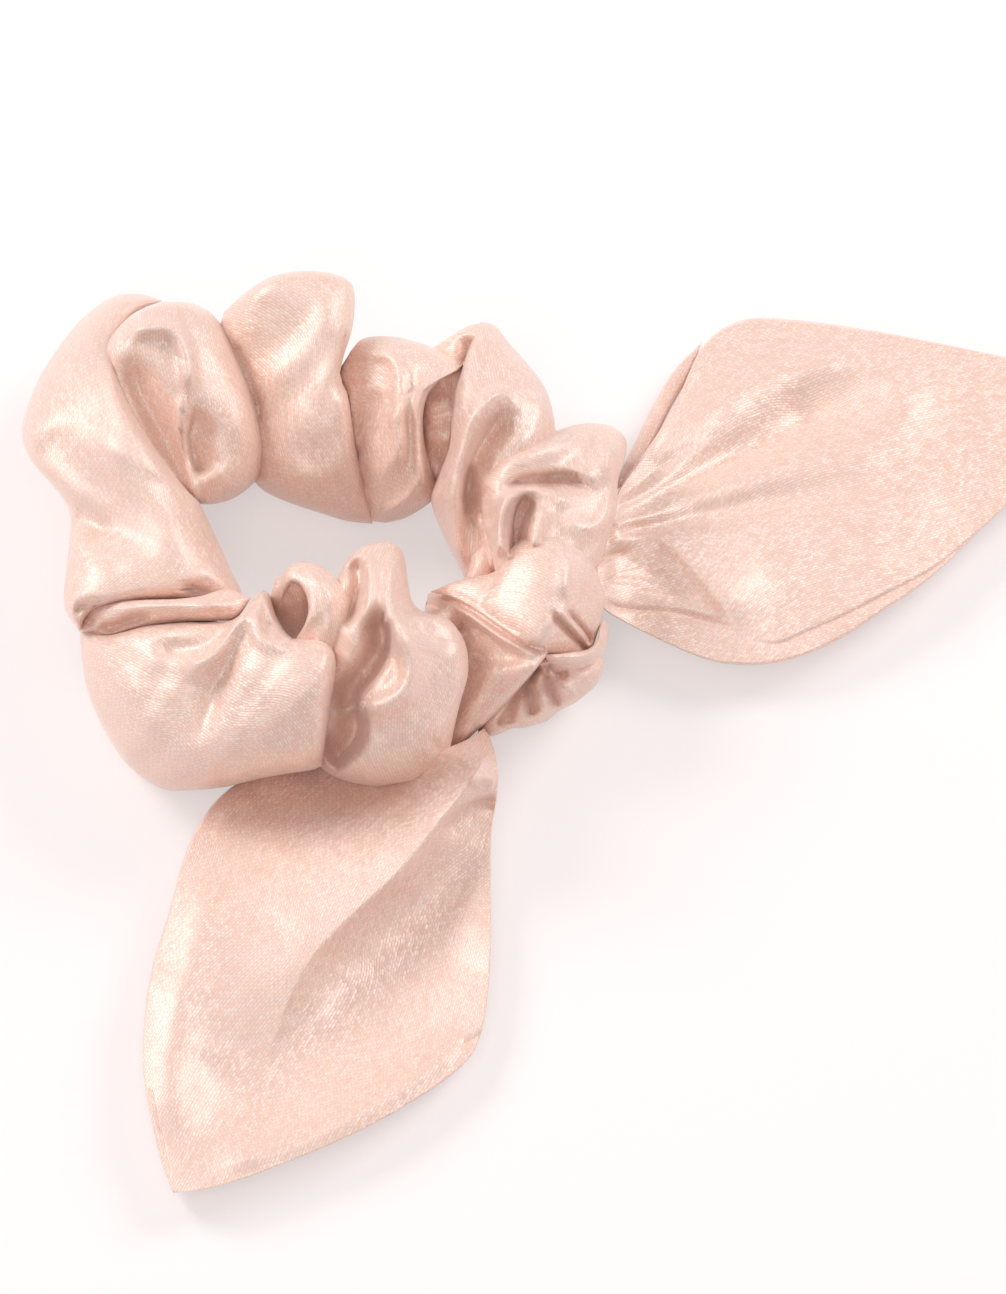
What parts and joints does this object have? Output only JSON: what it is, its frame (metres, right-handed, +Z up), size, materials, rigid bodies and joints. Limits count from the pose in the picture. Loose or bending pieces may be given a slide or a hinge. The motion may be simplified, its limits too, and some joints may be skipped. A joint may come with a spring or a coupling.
{
  "type": "knotted scrunchie",
  "caption": "Gathered satin hair tie over an elastic loop, with a satin scarf tied round it in a knot that leaves two wide pointed tails.",
  "frame": {"origin": "centre of the hair opening, on the surface that the scrunchie lies on", "axes": "+Z up out of the opening, +X from the opening's centre towards the knot, +Y to the right tail's side"},
  "size_m": [0.1527, 0.2431, 0.036],
  "materials": {
    "satin": "peach-pink satin with a soft metallic lustre",
    "elastic": "white braided elastic",
    "thread": "matching polyester sewing thread"
  },
  "bodies": {
    "band": {"cover": "satin", "elastic_band": "elastic", "elastic_tacks": "thread"},
    "tie": {"tie_loop": "satin", "knot_turn": "satin", "knot_core": "satin"},
    "tail_right_base": {"tail_right_root": "satin"},
    "tail_right": {"tail_right_upper": "satin", "tail_right_lower": "satin"},
    "tail_left_base": {"tail_left_root": "satin"},
    "tail_left": {"tail_left_upper": "satin", "tail_left_lower": "satin"}
  },
  "joints": [
    {"name": "tie_roll", "type": "hinge", "parent": "band", "child": "tie", "pos_m": [0.03277, 0, 0.017], "axis": [0, -1, 0], "range_deg": [0, 12]},
    {"name": "tail_right_swing", "type": "hinge", "parent": "tie", "child": "tail_right_base", "pos_m": [0.04761, 0.0155, 0.0085], "axis": [0, 0, -1], "range_deg": [-8, 20]},
    {"name": "tail_right_lift", "type": "hinge", "parent": "tail_right_base", "child": "tail_right", "pos_m": [0.04761, 0.0155, 0.0085], "axis": [0.891, -0.454, 0], "range_deg": [0, 75]},
    {"name": "tail_left_swing", "type": "hinge", "parent": "tie", "child": "tail_left_base", "pos_m": [0.04761, -0.0155, 0.0085], "axis": [0, 0, 1], "range_deg": [-4, 20]},
    {"name": "tail_left_lift", "type": "hinge", "parent": "tail_left_base", "child": "tail_left", "pos_m": [0.04761, -0.0155, 0.0085], "axis": [-0.6691, -0.7431, 0], "range_deg": [0, 50]}
  ]
}
